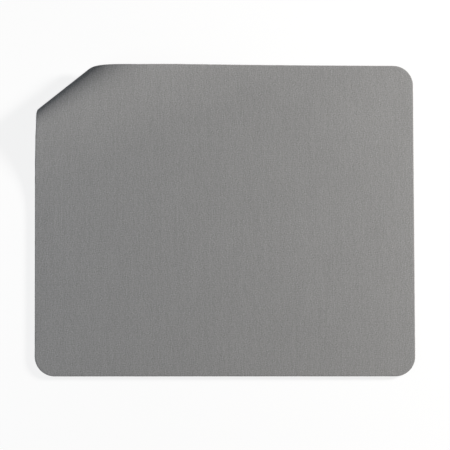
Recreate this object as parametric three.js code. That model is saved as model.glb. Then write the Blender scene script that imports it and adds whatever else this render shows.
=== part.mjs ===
// A cloth-faced desk pad: a laminate of three sheets, cut out together with rounded corners.
// It lies flat, apart from its far left corner, which has rolled over and tucked itself under.
// The pad lifts gently towards that corner, turns over a soft crest and a tight nose, and ends in
// a short flap that lies cloth side down just above the desk. Nothing in it is stretched: the lift
// is part of a cylinder, and the roll is part of a cone, which is tighter at its left end.
//
// Millimetres. +X runs to the right along the long side, +Y away from the user, +Z up.
// The origin is on the desk, under the middle of the flat outline.

import * as THREE from "three";

// The flat outline, as cut by the die.
const PAD_WIDTH = 220;
const PAD_DEPTH = 181;
const CORNER_RADIUS = 11.5;

// The three sheets of the laminate.
const CLOTH_THICKNESS = 0.35;
const FILM_THICKNESS = 0.1;
const FOAM_THICKNESS = 1.55;

// The rolled corner. The lift ends and the roll begins at the crest line, a straight line on the
// flat pad. Its setback runs square to it, from the place where the square corner would be. The
// cone's apex lies on the crest line too, beyond the pad's left edge, at its distance from the foot
// of that setback. Both radii of the roll are the ones at that distance from the apex.
const CREST_DIRECTION_DEG = 28;
const CREST_SETBACK = 36;
const LIFT_LENGTH = 45;
const APEX_DISTANCE = 75;
const CREST_RADIUS = 11.5;
const NOSE_INNER_RADIUS = 1.4;
const FLAP_CLEARANCE = 0.3;

// How finely the curves are followed.
const CORNER_STEPS = 14;
const FACET_TURN_DEG = 5;
const FACET_LENGTH = 5;
const MARCH_STEP = 0.05;
const CREST_POWER = 5;
const HALVINGS = 30;
const RIM_SAMPLES = 100;

const PAD_THICKNESS = CLOTH_THICKNESS + FILM_THICKNESS + FOAM_THICKNESS;
const NOSE_RADIUS = NOSE_INNER_RADIUS + PAD_THICKNESS;
const HALF_TURN = Math.PI;
const STEEPEST_LIFT = HALF_TURN / 3;

// The two plan directions of the crest: along its line, and across it towards the corner.
const crestAngle = THREE.MathUtils.degToRad(CREST_DIRECTION_DEG);
const alongCrest = new THREE.Vector2(Math.cos(crestAngle), Math.sin(crestAngle));
const acrossCrest = new THREE.Vector2(-Math.sin(crestAngle), Math.cos(crestAngle));
const squareCorner = new THREE.Vector2(-PAD_WIDTH / 2, PAD_DEPTH / 2);
const crestFoot = squareCorner.clone().addScaledVector(acrossCrest, -CREST_SETBACK);
const flatApex = crestFoot.clone().addScaledVector(alongCrest, -APEX_DISTANCE);

// The middle of the range in which rises turns from false to true, between low and high.
function findTurn(low, high, rises) {
  let [below, above] = [low, high];
  for (let round = 0; round < HALVINGS; round += 1) {
    const middle = (below + above) / 2;
    if (rises(middle)) above = middle;
    else below = middle;
  }
  return (below + above) / 2;
}

// The flat outline, anticlockwise from above, as a closed run of points.
function padOutline() {
  const x = PAD_WIDTH / 2 - CORNER_RADIUS;
  const y = PAD_DEPTH / 2 - CORNER_RADIUS;
  const centres = [
    [x, y],
    [-x, y],
    [-x, -y],
    [x, -y],
  ];
  return centres.flatMap(([cx, cy], quarter) => {
    const start = (quarter * Math.PI) / 2;
    return Array.from({ length: CORNER_STEPS + 1 }, (_, step) => {
      const angle = start + ((step / CORNER_STEPS) * Math.PI) / 2;
      return new THREE.Vector2(
        cx + CORNER_RADIUS * Math.cos(angle),
        cy + CORNER_RADIUS * Math.sin(angle),
      );
    });
  });
}

// How far a point of the flat pad lies past the crest line, towards the rolled corner. Up to that
// line it is a plain distance. Past it, it is an angle about the apex, times the apex distance.
function station(point) {
  const arm = point.clone().sub(flatApex);
  const across = arm.dot(acrossCrest);
  if (across <= 0) return across;
  return Math.atan2(across, arm.dot(alongCrest)) * APEX_DISTANCE;
}

const outline = padOutline();
const farthestStation = Math.max(...outline.map(station));

// The cloth's face over the lift, as seen along the crest, from the line where it leaves the desk.
// Its slope grows from nothing to the lift angle, without a kink at either end.
function marchLift(liftAngle) {
  const steps = Math.round(LIFT_LENGTH / MARCH_STEP);
  const path = [{ across: 0, height: 0, angle: 0 }];
  for (let step = 0; step < steps; step += 1) {
    const last = path[step];
    const share = (step + 0.5) / steps;
    const turn = (6 * share * (1 - share) * liftAngle) / steps;
    const middle = last.angle + turn / 2;
    path.push({
      across: last.across + Math.cos(middle) * MARCH_STEP,
      height: last.height + Math.sin(middle) * MARCH_STEP,
      angle: last.angle + turn,
    });
  }
  return path;
}

// How much the face turns down in one step of the roll: easily over the crest, more and more
// sharply down to the nose, evenly round the nose, and no more once it is right over.
function rollTurn(arc, angle, liftAngle) {
  if (angle > 0) {
    const easeLength = 2 * CREST_RADIUS * liftAngle;
    const share = Math.min(Math.max(arc, MARCH_STEP) / easeLength, 1);
    return (share * MARCH_STEP) / CREST_RADIUS;
  }
  const openness = Math.max(Math.cos(angle), 0) ** CREST_POWER;
  const radius = NOSE_RADIUS + (CREST_RADIUS - NOSE_RADIUS) * openness;
  return Math.min(MARCH_STEP / radius, HALF_TURN + angle);
}

// The roll, as the direction of each ruling out of the apex and the normal of the cloth's face
// along it. Each step bends the face about its ruling, and then goes on to the next ruling.
function marchRoll(liftAngle) {
  const ruling = new THREE.Vector3(alongCrest.x, alongCrest.y, 0);
  const normal = new THREE.Vector3(0, 0, 1).applyAxisAngle(ruling, liftAngle);
  const path = [];
  let angle = liftAngle;
  for (let arc = 0; arc < farthestStation + MARCH_STEP; arc += MARCH_STEP) {
    path.push({ ruling: ruling.clone(), normal: normal.clone(), angle });
    const turn = rollTurn(arc, angle, liftAngle);
    normal.applyAxisAngle(ruling, -turn);
    ruling.applyAxisAngle(normal, MARCH_STEP / APEX_DISTANCE);
    angle -= turn;
  }
  return path;
}

// The place on a marched path at some length, between its two nearest entries.
function alongPath(path, length, mix) {
  const index = Math.min(Math.floor(length / MARCH_STEP), path.length - 2);
  return mix(path[index], path[index + 1], length / MARCH_STEP - index);
}

function liftedPlace(bend, point, depth) {
  const arm = point.clone().sub(flatApex);
  const length = arm.dot(acrossCrest) + LIFT_LENGTH;
  if (length <= 0) return new THREE.Vector3(point.x, point.y, PAD_THICKNESS - depth);
  const { lerp } = THREE.MathUtils;
  const at = alongPath(bend.lift, length, (before, after, share) => ({
    across: lerp(before.across, after.across, share),
    height: lerp(before.height, after.height, share),
    angle: lerp(before.angle, after.angle, share),
  }));
  const plan = flatApex
    .clone()
    .addScaledVector(alongCrest, arm.dot(alongCrest))
    .addScaledVector(acrossCrest, at.across - LIFT_LENGTH + depth * Math.sin(at.angle));
  const height = PAD_THICKNESS + at.height - depth * Math.cos(at.angle);
  return new THREE.Vector3(plan.x, plan.y, height);
}

// Where a point of the flat pad ends up, at a depth below the cloth's face.
function bentPlace(bend, point, depth) {
  if (station(point) <= 0) return liftedPlace(bend, point, depth);
  const { ruling, normal } = alongPath(bend.roll, station(point), (before, after, share) => ({
    ruling: before.ruling.clone().lerp(after.ruling, share).normalize(),
    normal: before.normal.clone().lerp(after.normal, share).normalize(),
  }));
  return liftedPlace(bend, flatApex, 0)
    .addScaledVector(ruling, point.distanceTo(flatApex))
    .addScaledVector(normal, -depth);
}

function makeBend(liftAngle) {
  return { lift: marchLift(liftAngle), roll: marchRoll(liftAngle) };
}

// The steepest slope of the lift, found so that the rim of the flap stays just clear of the desk.
const rolledRim = outline
  .flatMap((point, at) => {
    const next = outline[(at + 1) % outline.length];
    const shares = Array.from({ length: RIM_SAMPLES }, (_, sample) => sample / RIM_SAMPLES);
    return shares.map((share) => point.clone().lerp(next, share));
  })
  .filter((point) => station(point) > 0);
const liftAngle = findTurn(0, STEEPEST_LIFT, (angle) => {
  const tried = makeBend(angle);
  return rolledRim.every((point) => bentPlace(tried, point, 0).z > FLAP_CLEARANCE);
});
const bend = makeBend(liftAngle);

// The stations of the rulings at which the sheets are creased into facets.
function facetLines() {
  const facetTurn = THREE.MathUtils.degToRad(FACET_TURN_DEG);
  const marched = [
    ...bend.lift.map((at, step) => ({ ...at, line: step * MARCH_STEP - LIFT_LENGTH })),
    ...bend.roll.map((at, step) => ({ ...at, line: step * MARCH_STEP })),
  ];
  const lines = [marched[0]];
  for (const at of marched) {
    const last = lines[lines.length - 1];
    const turned = Math.abs(at.angle - last.angle) >= facetTurn;
    const isCurved = at.angle > -HALF_TURN || last.angle > -HALF_TURN;
    if (turned || (isCurved && at.line - last.line >= FACET_LENGTH)) lines.push(at);
  }
  return lines.map((at) => at.line).filter((line) => line < farthestStation);
}

// One side of the outline, from its nearest point to its farthest, with a point on each facet line.
function sideChain(points, lines) {
  const chain = [points[0]];
  for (const point of points.slice(1)) {
    const last = chain[chain.length - 1];
    const [from, to] = [station(last), station(point)];
    for (const line of lines.filter((at) => at > from + MARCH_STEP && at < to - MARCH_STEP)) {
      const share = findTurn(0, 1, (at) => station(last.clone().lerp(point, at)) > line);
      chain.push(last.clone().lerp(point, share));
    }
    chain.push(point);
  }
  return chain;
}

// The outline's two sides: both run from the point farthest from the roll to the rolled corner.
function splitOutline(points, lines) {
  const stations = points.map(station);
  const nearest = stations.indexOf(Math.min(...stations));
  const turned = [...points.slice(nearest), ...points.slice(0, nearest)];
  const farthest = turned.map(station).indexOf(farthestStation);
  const right = turned.slice(0, farthest + 1);
  const left = [turned[0], ...turned.slice(farthest).reverse()];
  return { right: sideChain(right, lines), left: sideChain(left, lines) };
}

// Triangles that span the pad between its two sides, as indices into sidePoints. The sides meet at
// both ends, so each step takes the nearer of the two next points, and joins it to the last of both.
function spanTriangles({ left, right }) {
  const rightIndex = (j) => {
    if (j === 0) return 0;
    return j === right.length - 1 ? left.length - 1 : left.length + j - 1;
  };
  const nextStation = (side, at) => (at + 1 < side.length ? station(side[at + 1]) : Infinity);
  const triangles = [];
  let i = 0;
  let j = 0;
  while (i + 1 < left.length || j + 1 < right.length) {
    const takesLeft = nextStation(left, i) < nextStation(right, j);
    const next = takesLeft ? i + 1 : rightIndex(j + 1);
    if (next !== i && next !== rightIndex(j) && i !== rightIndex(j)) {
      triangles.push([i, rightIndex(j), next]);
    }
    if (takesLeft) i += 1;
    else j += 1;
  }
  return triangles;
}

// Every point of both sides once, in the order that spanTriangles counts them.
function sidePoints({ left, right }) {
  return [...left, ...right.slice(1, -1)];
}

// The outline's edges, anticlockwise, as pairs of indices into sidePoints.
function rimEdges({ left, right }) {
  const rightRun = right.slice(1, -1).map((_, j) => left.length + j);
  const leftRun = left.map((_, i) => i).reverse();
  const loop = [0, ...rightRun, ...leftRun.slice(0, -1)];
  return loop.map((from, at) => [from, loop[(at + 1) % loop.length]]);
}

// One sheet of the laminate, between two depths below the cloth's face. Its cut edge stays square
// to the sheet all the way round the roll.
function sheetGeometry(sides, upperDepth, lowerDepth) {
  const flatPoints = sidePoints(sides);
  const count = flatPoints.length;
  const positions = [upperDepth, lowerDepth].flatMap((depth) =>
    flatPoints.flatMap((point) => bentPlace(bend, point, depth).toArray()),
  );
  const upper = spanTriangles(sides);
  const lower = upper.map(([a, b, c]) => [a + count, c + count, b + count]);
  const rim = rimEdges(sides).flatMap(([a, b]) => [
    [a, a + count, b + count],
    [a, b + count, b],
  ]);
  const geometry = new THREE.BufferGeometry();
  geometry.setAttribute("position", new THREE.Float32BufferAttribute(positions, 3));
  geometry.setIndex([...upper, ...lower, ...rim].flat());
  geometry.computeVertexNormals();
  return geometry;
}

// The sheets from the top down, each starting where the one above it ends.
const sheets = [
  {
    name: "cloth_top",
    thickness: CLOTH_THICKNESS,
    finish: { color: 0x8a8a8b, roughness: 0.92, metalness: 0 },
  },
  {
    name: "adhesive_film",
    thickness: FILM_THICKNESS,
    finish: { color: 0xb5b0a4, roughness: 0.5, metalness: 0 },
  },
  {
    name: "foam_base",
    thickness: FOAM_THICKNESS,
    finish: { color: 0x1c1c1e, roughness: 0.85, metalness: 0 },
  },
];

const sides = splitOutline(outline, facetLines());
const pad = new THREE.Group();
let depth = 0;
for (const { name, thickness, finish } of sheets) {
  const geometry = sheetGeometry(sides, depth, depth + thickness);
  const mesh = new THREE.Mesh(geometry, new THREE.MeshStandardMaterial(finish));
  mesh.name = name;
  pad.add(mesh);
  depth += thickness;
}

export default pad;
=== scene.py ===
# %% [markdown]
# This lesson dresses a small cloth-faced desk pad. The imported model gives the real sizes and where
# everything lies. Blender adds what a photograph shows of it: the weave, the cut edge, the foam's
# cells and the moulded relief underneath.
#
# The pad is a laminate, so every piece is first made flat, as it comes from the die. One shared
# Geometry Nodes group then bends them all over the same rolled corner. That way the sheets can't
# drift apart, and a pattern that is laid out on the flat cloth follows it round the roll.

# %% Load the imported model
import math

import bmesh
import bpy
import numpy as np
from mathutils import Euler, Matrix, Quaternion, Vector


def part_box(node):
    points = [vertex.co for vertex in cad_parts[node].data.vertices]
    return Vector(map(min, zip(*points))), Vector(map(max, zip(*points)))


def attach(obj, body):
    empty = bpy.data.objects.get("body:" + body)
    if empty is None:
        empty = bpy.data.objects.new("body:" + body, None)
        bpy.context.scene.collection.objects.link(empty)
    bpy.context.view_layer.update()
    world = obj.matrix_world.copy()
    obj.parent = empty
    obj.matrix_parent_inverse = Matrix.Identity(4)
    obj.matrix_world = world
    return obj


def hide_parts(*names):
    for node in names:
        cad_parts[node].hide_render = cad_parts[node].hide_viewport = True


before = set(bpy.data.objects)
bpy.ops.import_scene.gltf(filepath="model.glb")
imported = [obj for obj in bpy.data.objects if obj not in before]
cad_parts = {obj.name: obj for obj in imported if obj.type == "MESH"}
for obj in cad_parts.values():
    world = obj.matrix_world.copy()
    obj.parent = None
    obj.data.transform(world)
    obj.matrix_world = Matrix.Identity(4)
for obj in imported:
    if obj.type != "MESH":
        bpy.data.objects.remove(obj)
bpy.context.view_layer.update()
MM = 0.001

# %% [markdown]
# A few helpers first. A new object isn't in any scene until it is linked to a collection, so
# add_object does both. Node trees are long to write by hand, so add_node makes a node, sets its
# options and joins its inputs in one call, and new_group starts a group with its named sockets.

# %% Helpers for objects and node trees
def add_object(name, data):
    """A new object in the scene, at the origin."""
    obj = bpy.data.objects.new(name, data)
    bpy.context.scene.collection.objects.link(obj)
    return obj


def add_node(tree, kind, inputs=None, **settings):
    """A new node with its options set. An input that is given a socket is linked to it."""
    node = tree.nodes.new(kind)
    for name, value in settings.items():
        setattr(node, name, value)
    for key, value in (inputs or {}).items():
        if isinstance(value, bpy.types.NodeSocket):
            tree.links.new(value, node.inputs[key])
        else:
            node.inputs[key].default_value = value
    return node


def new_group(name, kind, inputs, outputs):
    """An empty node group whose sockets are (name, type, default) rows, with its two end nodes."""
    tree = bpy.data.node_groups.new(name, kind)
    for label, socket_type, default in inputs:
        socket = tree.interface.new_socket(label, in_out="INPUT", socket_type=socket_type)
        if default is not None:
            socket.default_value = default
    for label, socket_type in outputs:
        tree.interface.new_socket(label, in_out="OUTPUT", socket_type=socket_type)
    return tree, tree.nodes.new("NodeGroupInput").outputs, tree.nodes.new("NodeGroupOutput")


# %% [markdown]
# Most of the work in these trees is arithmetic. The Math and Vector Math nodes do it, and they are
# the same nodes in a shader tree and in a geometry tree, so these four helpers serve both.

# %% Helpers for arithmetic in node trees
def calc(tree, operation, *values):
    """The result of one Math node. Each value is a number or a socket."""
    node = add_node(tree, "ShaderNodeMath", dict(enumerate(values)), operation=operation)
    return node.outputs[0]


def vector_calc(tree, operation, *values, scale=None):
    """The result of one Vector Math node. SCALE takes its factor as scale."""
    inputs = dict(enumerate(values))
    if scale is not None:
        inputs["Scale"] = scale
    node = add_node(tree, "ShaderNodeVectorMath", inputs, operation=operation)
    return node.outputs["Value" if operation in ("DOT_PRODUCT", "LENGTH") else "Vector"]


def split(tree, vector):
    """The three parts of a vector, by name or by number."""
    return add_node(tree, "ShaderNodeSeparateXYZ", {0: vector}).outputs


def combine(tree, *parts):
    """A vector from its three parts."""
    return add_node(tree, "ShaderNodeCombineXYZ", dict(enumerate(parts))).outputs[0]


# %% [markdown]
# The camera stands almost straight above the pad, far enough away for the sides to look nearly
# parallel. Its place and tilt are real sizes, found by matching the outline of the pad.

# %% Camera
PHOTO_PIXELS = 450
SENSOR_WIDTH = 36.0
FOCAL_PIXELS = 3471.75
CAMERA_PLACE = (-0.12708, -0.18033, 2.0)
CAMERA_TILT_DEG = (5.076, -3.619, -0.185)

camera_data = bpy.data.cameras.new("photo_camera")
camera_data.sensor_width = SENSOR_WIDTH
camera_data.lens = SENSOR_WIDTH * FOCAL_PIXELS / PHOTO_PIXELS
camera = add_object("photo_camera", camera_data)
camera.location = CAMERA_PLACE
camera.rotation_euler = Euler([math.radians(angle) for angle in CAMERA_TILT_DEG])
bpy.context.scene.camera = camera
print("lens", round(camera_data.lens, 1), "mm at", CAMERA_PLACE[2], "m")

# %% [markdown]
# The right edge and the near edge of the pad lie flat, and the origin is under the middle of the
# flat outline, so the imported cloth's box gives the flat width and depth. The other sizes are the
# ones that the part was designed with: the cut corner's radius, the three layers, and the roll of
# the far left corner. The roll begins at its crest line, which is given by its direction on the
# flat pad and by its setback from the square corner. The apex, where all the creases of the roll
# would meet, lies on that line too, out beyond the pad's left edge.

# %% Sizes
DECIMALS = 5
cloth_low, cloth_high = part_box("cloth_top")
PAD_WIDTH = round(2 * cloth_high.x, DECIMALS)
PAD_DEPTH = round(-2 * cloth_low.y, DECIMALS)
CORNER_RADIUS = 11.5 * MM
CLOTH_THICKNESS = 0.35 * MM
FILM_THICKNESS = 0.1 * MM
FOAM_THICKNESS = 1.55 * MM
PAD_THICKNESS = CLOTH_THICKNESS + FILM_THICKNESS + FOAM_THICKNESS

CREST_DIRECTION = math.radians(28)
CREST_SETBACK = 36 * MM
LIFT_LENGTH = 45 * MM
LIFT_ANGLE = math.radians(17.6)
APEX_DISTANCE = 75 * MM
CREST_RADIUS = 11.5 * MM
CREST_POWER = 5
NOSE_RADIUS = 1.4 * MM + PAD_THICKNESS

ALONG = Vector((math.cos(CREST_DIRECTION), math.sin(CREST_DIRECTION), 0))
ACROSS = Vector((-math.sin(CREST_DIRECTION), math.cos(CREST_DIRECTION), 0))
square_corner = Vector((-PAD_WIDTH / 2, PAD_DEPTH / 2, 0))
flat_apex = square_corner - ACROSS * CREST_SETBACK - ALONG * APEX_DISTANCE
print("flat pad", round(PAD_WIDTH / MM, 1), "x", round(PAD_DEPTH / MM, 1), "mm")

# %% [markdown]
# Cloth can't stretch into a ball, but it can bend like paper: into a part of a cylinder, where its
# creases run side by side, or into a part of a cone, where they fan out from one point. Here the
# pad first lifts as a cylinder and then rolls over as a cone, which makes the roll tighter at its
# left end. Marching along the cloth in small steps is the plainest way to draw such a bend. Each
# step turns it a little, by a rule for how sharp the bend is there.
#
# Up the lift, the slope grows by the smooth step, whose rate at a share s of the way is
# 6 s (1 - s), so neither end has a kink. Over the crest, the bend sharpens evenly from nothing to
# the crest's radius, and CREST_LENGTH is what it takes to turn the slope back to level. Past that,
# the radius shrinks towards the nose's as the slope steepens, until the flap lies cloth side down.

# %% Marching over the bend
MARCH_STEP = 0.05 * MM
CREST_LENGTH = 2 * CREST_RADIUS * LIFT_ANGLE
FARTHEST_STATION = 30 * MM


def march_lift():
    """Rows of (across, height, slope) up the lift, as seen along its creases."""
    steps = round(LIFT_LENGTH / MARCH_STEP)
    rows = [(0.0, 0.0, 0.0)]
    for step in range(steps):
        across, height, slope = rows[-1]
        share = (step + 0.5) / steps
        turn = 6 * share * (1 - share) * LIFT_ANGLE / steps
        across += math.cos(slope + turn / 2) * MARCH_STEP
        height += math.sin(slope + turn / 2) * MARCH_STEP
        rows.append((across, height, slope + turn))
    return rows


def roll_turn(arc, slope):
    """How far one step of the roll turns down: gently at the crest, then sharply round the nose."""
    if slope > 0:
        share = min(max(arc, MARCH_STEP) / CREST_LENGTH, 1)
        return share * MARCH_STEP / CREST_RADIUS
    openness = max(math.cos(slope), 0) ** CREST_POWER
    radius = NOSE_RADIUS + (CREST_RADIUS - NOSE_RADIUS) * openness
    return min(MARCH_STEP / radius, math.pi + slope)


def march_roll():
    """The direction of each crease out of the apex, and the slope of the cloth across it."""
    crease = ALONG.copy()
    normal = Quaternion(crease, LIFT_ANGLE) @ Vector((0, 0, 1))
    slope, arc, rows = LIFT_ANGLE, 0.0, []
    while arc < FARTHEST_STATION:
        rows.append((crease.copy(), slope))
        turn = roll_turn(arc, slope)
        normal = Quaternion(crease, -turn) @ normal
        crease = Quaternion(normal, MARCH_STEP / APEX_DISTANCE) @ crease
        slope -= turn
        arc += MARCH_STEP
    return rows


lift_rows = march_lift()
roll_rows = march_roll()
lifted_apex = flat_apex + ACROSS * (lift_rows[-1][0] - LIFT_LENGTH)
lifted_apex.z = PAD_THICKNESS + lift_rows[-1][1]
print("the crest line is lifted", round(lift_rows[-1][1] / MM, 2), "mm over", len(lift_rows), "steps")

# %% [markdown]
# Both marches go into Blender as curves, because a geometry tree can read a curve with Sample
# Curve: asked for a length, it answers with the place and the tangent there. The first curve is the
# lift in profile. The second is the path of a crease's far end as it swings round the apex, so one
# sample of it gives the crease, and the cloth's normal follows from the crease and the tangent.
# The curves are only read, so they aren't shown, and they are deleted at the end.

# %% The bend as two guide curves
def guide_curve(name, points):
    """A polyline through the points, which is only read by the trees and not rendered."""
    data = bpy.data.curves.new(name, "CURVE")
    data.dimensions = "3D"
    spline = data.splines.new("POLY")
    spline.points.add(len(points) - 1)
    spline.points.foreach_set("co", [value for point in points for value in (*point, 1)])
    curve = add_object(name, data)
    curve.hide_render = True
    return curve


guides = {
    "Lift Profile": guide_curve("lift_profile", [(row[0], 0, row[1]) for row in lift_rows]),
    "Crease Path": guide_curve("crease_path", [crease * APEX_DISTANCE for crease, _ in roll_rows]),
}
print("guide curves:", {name: len(guide.data.splines[0].points) for name, guide in guides.items()})

# %% [markdown]
# This group is the heart of the scene. It takes flat geometry, in which Z counts down from the
# cloth's face, and bends it. First it stores each point's flat place as an attribute, so that a
# weave can follow the cloth round the roll. Up to the crest line, the distance across becomes a
# length along the lift's profile. Past it, the angle about the apex picks a crease, and the point
# keeps its distance from the apex along it. Depth is measured square to the bent face. A lattice
# could roll the corner too, but it would stretch the cloth, and where a cloth simulation comes to
# rest can't be given in millimetres.

# %% The two ways in which a point can move
GEOMETRY, OBJECT = "NodeSocketGeometry", "NodeSocketObject"
GUIDE_SOCKETS = [("Lift Profile", OBJECT, None), ("Crease Path", OBJECT, None)]


def sample_guide(tree, guide, length):
    """The place and the tangent at a length along a guide curve."""
    curve = add_node(tree, "GeometryNodeObjectInfo", {"Object": guide}).outputs["Geometry"]
    inputs = {"Curves": curve, "Length": length}
    sample = add_node(tree, "GeometryNodeSampleCurve", inputs, mode="LENGTH")
    return sample.outputs["Position"], sample.outputs["Tangent"]


def place_on_lift(tree, given, along, across, rise):
    """Where a point before the crest line goes: it stays flat at first, and then climbs the lift."""
    length = calc(tree, "ADD", across, given["Lift Length"])
    on_lift, tangent = sample_guide(tree, given["Lift Profile"], calc(tree, "MAXIMUM", length, 0.0))
    on_lift, tangent = split(tree, on_lift), split(tree, tangent)
    before = calc(tree, "SUBTRACT", calc(tree, "MINIMUM", length, 0.0), given["Lift Length"])
    lean = calc(tree, "MULTIPLY", rise, tangent["Z"])
    plan_across = calc(tree, "SUBTRACT", calc(tree, "ADD", before, on_lift["X"]), lean)
    height = calc(tree, "MULTIPLY_ADD", rise, tangent["X"], on_lift["Z"])
    sideways = vector_calc(tree, "SCALE", given["Along"], scale=along)
    forwards = vector_calc(tree, "SCALE", given["Across"], scale=plan_across)
    upwards = combine(tree, 0.0, 0.0, calc(tree, "ADD", height, given["Face Height"]))
    lifted = vector_calc(tree, "ADD", given["Flat Apex"], sideways)
    return vector_calc(tree, "ADD", vector_calc(tree, "ADD", lifted, forwards), upwards)


def place_on_roll(tree, given, arm, along, across, rise):
    """Where a point past the crest line goes: out on the crease that its angle picks."""
    angle = calc(tree, "ARCTAN2", across, along)
    station = calc(tree, "MAXIMUM", calc(tree, "MULTIPLY", angle, given["Apex Distance"]), 0.0)
    crease, swing = sample_guide(tree, given["Crease Path"], station)
    normal = vector_calc(tree, "NORMALIZE", vector_calc(tree, "CROSS_PRODUCT", crease, swing))
    reach = calc(tree, "DIVIDE", vector_calc(tree, "LENGTH", arm), given["Apex Distance"])
    crease = vector_calc(tree, "SCALE", crease, scale=reach)
    out = vector_calc(tree, "ADD", given["Lifted Apex"], crease)
    return vector_calc(tree, "ADD", out, vector_calc(tree, "SCALE", normal, scale=rise))


# %% The bend as a node group
VECTOR, FLOAT = "NodeSocketVector", "NodeSocketFloat"


def new_geometry_group(name, inputs):
    """A group that gives one geometry, made from its inputs."""
    return new_group(name, "GeometryNodeTree", inputs, [("Geometry", GEOMETRY)])


def bend_group():
    """Takes flat geometry and bends it. Each point keeps its flat place as an attribute."""
    sockets = [
        ("Geometry", GEOMETRY, None),
        *GUIDE_SOCKETS,
        ("Along", VECTOR, ALONG),
        ("Across", VECTOR, ACROSS),
        ("Flat Apex", VECTOR, flat_apex),
        ("Lifted Apex", VECTOR, lifted_apex),
        ("Apex Distance", FLOAT, APEX_DISTANCE),
        ("Lift Length", FLOAT, LIFT_LENGTH),
        ("Face Height", FLOAT, PAD_THICKNESS),
    ]
    tree, given, result = new_geometry_group("Bend over the roll", sockets)
    place = tree.nodes.new("GeometryNodeInputPosition").outputs[0]
    inputs = {"Geometry": given["Geometry"], "Name": "flat_place", "Value": place}
    kind = {"data_type": "FLOAT_VECTOR", "domain": "POINT"}
    stored = add_node(tree, "GeometryNodeStoreNamedAttribute", inputs, **kind)

    rise = split(tree, place)["Z"]
    plan = vector_calc(tree, "MULTIPLY", place, (1, 1, 0))
    arm = vector_calc(tree, "SUBTRACT", plan, given["Flat Apex"])
    along = vector_calc(tree, "DOT_PRODUCT", arm, given["Along"])
    across = vector_calc(tree, "DOT_PRODUCT", arm, given["Across"])
    choice = {
        "Switch": calc(tree, "GREATER_THAN", across, 0.0),
        "False": place_on_lift(tree, given, along, across, rise),
        "True": place_on_roll(tree, given, arm, along, across, rise),
    }
    bent = add_node(tree, "GeometryNodeSwitch", choice, input_type="VECTOR").outputs[0]
    inputs = {"Geometry": stored.outputs[0], "Position": bent}
    moved = add_node(tree, "GeometryNodeSetPosition", inputs)
    tree.links.new(moved.outputs[0], result.inputs[0])
    return tree


bend_tree = bend_group()
print("bend group of", len(bend_tree.nodes), "nodes")

# %% [markdown]
# Every piece of the pad ends the same way: it is bent, its instances are made real, and it gets its
# material. One tree does that for a sheet that was made flat in mesh code. Its faces carry a mark
# where the blade cut, and these get a second material.

# %% A tree that finishes a flat sheet
MATERIAL = "NodeSocketMaterial"


def finish_in_tree(tree, given, flat, material):
    """Adds the bend, Realize Instances and Set Material to a tree, after the flat geometry."""
    inputs = {"Geometry": flat}
    inputs.update({name: given[name] for name, _, _ in GUIDE_SOCKETS})
    bend = add_node(tree, "GeometryNodeGroup", inputs, node_tree=bend_tree)
    real = add_node(tree, "GeometryNodeRealizeInstances", {0: bend.outputs[0]})
    inputs = {"Geometry": real.outputs[0], "Material": material}
    return add_node(tree, "GeometryNodeSetMaterial", inputs).outputs[0]


def read_attribute(tree, name, data_type):
    """The values of a named attribute."""
    kind = "GeometryNodeInputNamedAttribute"
    return add_node(tree, kind, {"Name": name}, data_type=data_type).outputs[0]


def sheet_group():
    """Bends a flat sheet, and gives the faces of its cut their own material."""
    sockets = [("Geometry", GEOMETRY, None), *GUIDE_SOCKETS]
    sockets += [("Face", MATERIAL, None), ("Cut Edge", MATERIAL, None)]
    tree, given, result = new_geometry_group("Bent sheet", sockets)
    faced = finish_in_tree(tree, given, given["Geometry"], given["Face"])
    mark = read_attribute(tree, "on_cut", "BOOLEAN")
    inputs = {"Geometry": faced, "Selection": mark, "Material": given["Cut Edge"]}
    edged = add_node(tree, "GeometryNodeSetMaterial", inputs)
    tree.links.new(edged.outputs[0], result.inputs[0])
    return tree


sheet_tree = sheet_group()
print("sheet tree of", len(sheet_tree.nodes), "nodes")

# %% [markdown]
# A tree works through a modifier on an object. The modifier knows each input by the identifier of
# its socket, not by its name, and the inputs are set before the object is first evaluated. What
# comes out is kept as a plain mesh, and the modifier is taken away again.

# %% Running a tree on an object
def run_tree(obj, tree, **values):
    """Runs a geometry tree on an object, and keeps the result as its plain mesh."""
    modifier = obj.modifiers.new("made_by_nodes", "NODES")
    modifier.node_group = tree
    for item in tree.interface.items_tree:
        if item.in_out == "INPUT" and item.name in values:
            modifier[item.identifier] = values[item.name]
    evaluated = obj.evaluated_get(bpy.context.evaluated_depsgraph_get())
    mesh = bpy.data.meshes.new_from_object(evaluated)
    obj.modifiers.remove(modifier)
    mesh.name = obj.name
    obj.data = mesh
    return mesh


def drop_empty_slots(mesh):
    """Takes away the unused material slots that a primitive inside a tree brings along. It is for
    meshes with one material."""
    used = [material for material in mesh.materials if material]
    if len(used) == 1:
        mesh.materials.clear()
        mesh.materials.append(used[0])
        mesh.polygons.foreach_set("material_index", [0] * len(mesh.polygons))


# %% [markdown]
# The blade that cuts the pad out is four straight sides and four quarter circles. The cut edge is
# what a close look shows first, so its points are at most a millimetre apart. They run round it
# anticlockwise, as seen from above, which makes the faces between them point outwards.

# %% The outline of the cut
EDGE_STEP = 1.0 * MM


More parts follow.
